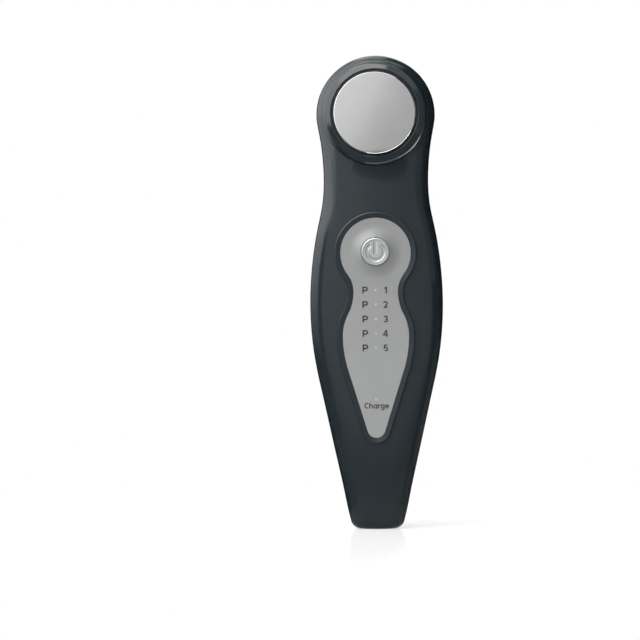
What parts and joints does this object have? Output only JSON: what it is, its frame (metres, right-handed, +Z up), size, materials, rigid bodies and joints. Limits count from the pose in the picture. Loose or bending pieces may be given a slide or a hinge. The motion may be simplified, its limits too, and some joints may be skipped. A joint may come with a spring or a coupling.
{
  "type": "handheld facial treatment wand",
  "caption": "Cordless facial wand: two-part waisted casing, round metal treatment head, inset control panel with sprung power button and indicator lights, charging socket in the foot.",
  "frame": {"origin": "middle of the foot, on the surface the wand stands on, in the plane where the covers meet", "axes": "+Z up along the wand to its head, -Y out of the treatment face and panel, +X to the right as seen from the front"},
  "size_m": [0.0534, 0.028, 0.19],
  "materials": {
    "casing_plastic": "satin dark blue-grey",
    "collar_plastic": "satin-gloss dark blue-grey",
    "seal_rubber": "matt black",
    "plate_steel": "fine satin metal",
    "panel_plastic": "satin silver grey",
    "button_plastic": "satin silver with a bright rim",
    "clear_plastic": "milky clear",
    "led_body": "white ceramic",
    "board_laminate": "green solder mask",
    "black_plastic": "matt black",
    "white_plastic": "natural nylon",
    "ferrite": "dark grey ferrite",
    "piezo_ceramic": "silvered ceramic",
    "screw_steel": "zinc plated",
    "contact_metal": "nickel plated brass",
    "cell_foil": "foil pouch",
    "foam": "closed-cell foam",
    "lead_sleeve": "insulated wire"
  },
  "bodies": {
    "casing": {"front_cover": "casing_plastic", "rear_cover": "casing_plastic", "head_collar": "collar_plastic", "head_seal": "seal_rubber", "treatment_plate": "plate_steel", "plate_gasket": "seal_rubber", "transducer_disc": "piezo_ceramic", "head_clamp_ring": "black_plastic", "clamp_screws": "screw_steel", "control_panel": "panel_plastic", "switch_body": "black_plastic", "programme_light_pipes": "clear_plastic", "charge_light_pipe": "clear_plastic", "programme_leds": "led_body", "charge_led": "led_body", "circuit_board": "board_laminate", "board_screws": "screw_steel", "controller_chip": "black_plastic", "drive_transformer": "ferrite", "head_connector": "white_plastic", "head_leads": "lead_sleeve", "battery_pack": "cell_foil", "battery_pad": "foam", "battery_connector": "white_plastic", "battery_leads": "lead_sleeve", "charge_socket": "black_plastic", "socket_pin": "contact_metal", "socket_contact": "contact_metal", "case_screws": "screw_steel"},
    "button": {"power_button": "button_plastic"},
    "plunger": {"switch_plunger": "white_plastic"}
  },
  "joints": [
    {"name": "power_button_press", "type": "slide", "parent": "casing", "child": "button", "axis": [0, 1, 0], "range_m": [0, 0.0005], "stiffness_N_per_m": 1500, "springref_m": -0.001},
    {"name": "switch_plunger_press", "type": "slide", "parent": "casing", "child": "plunger", "axis": [0, 1, 0], "range_m": [0, 0.0005]}
  ],
  "couplings": [
    {"joint": "switch_plunger_press", "follows": "power_button_press", "ratio": 1}
  ]
}
